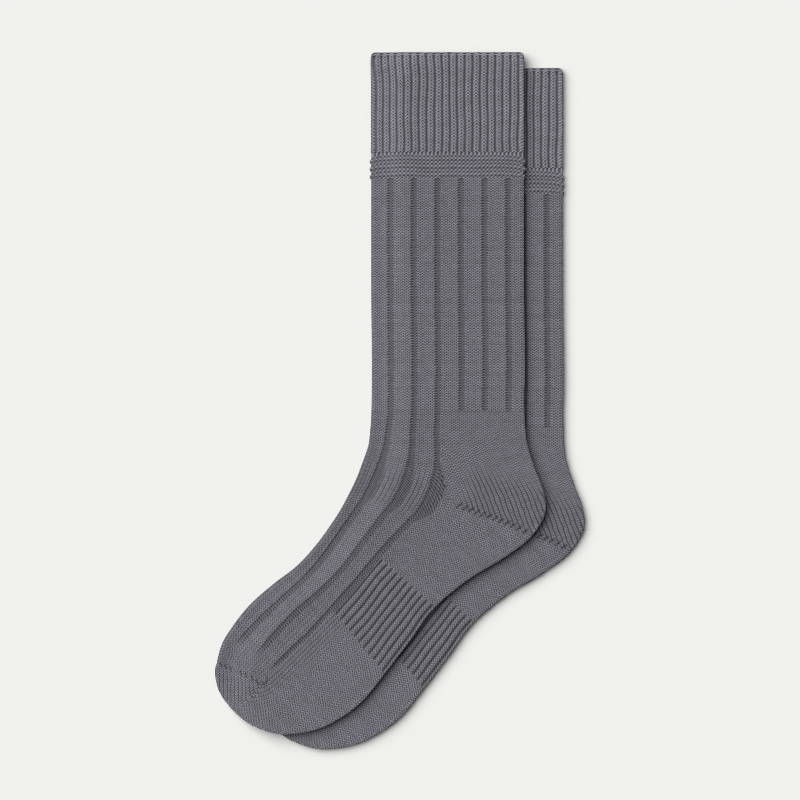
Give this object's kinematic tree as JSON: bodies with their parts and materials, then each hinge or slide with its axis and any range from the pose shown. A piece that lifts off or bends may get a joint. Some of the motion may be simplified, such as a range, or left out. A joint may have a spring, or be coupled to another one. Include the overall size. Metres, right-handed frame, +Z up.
{
  "type": "pair of calf socks laid flat",
  "caption": "Pair of rib-knit calf socks laid flat, one overlapping the other, with open ribbed cuffs, plain heels and rounded closed toes.",
  "frame": {"origin": "on the surface under the middle of the pair's outline", "axes": "+Z up off the surface, +Y from the toes towards the cuffs along the legs, +X towards the heels"},
  "size_m": [0.2404, 0.4538, 0.0101],
  "materials": {
    "cuff_knit": "matte 1x1 rib knit, thick spun yarn",
    "band_knit": "matte purl ridges, thick spun yarn",
    "leg_knit": "matte 4x2 rib knit, thick spun yarn",
    "heel_knit": "matte plain knit heel pocket, 4x2 rib on the instep half",
    "arch_knit": "matte 1x1 rib knit on the sole half, 4x2 rib on the instep half",
    "toe_knit": "matte plain knit with sunk rib lines that end at the toe cap"
  },
  "bodies": {
    "root": {"upper_cuff": "cuff_knit", "upper_band": "band_knit", "upper_leg": "leg_knit", "upper_heel": "heel_knit", "upper_arch": "arch_knit", "upper_toe": "toe_knit", "lower_cuff": "cuff_knit", "lower_band": "band_knit", "lower_leg": "leg_knit", "lower_heel": "heel_knit", "lower_arch": "arch_knit", "lower_toe": "toe_knit"}
  },
  "joints": []
}
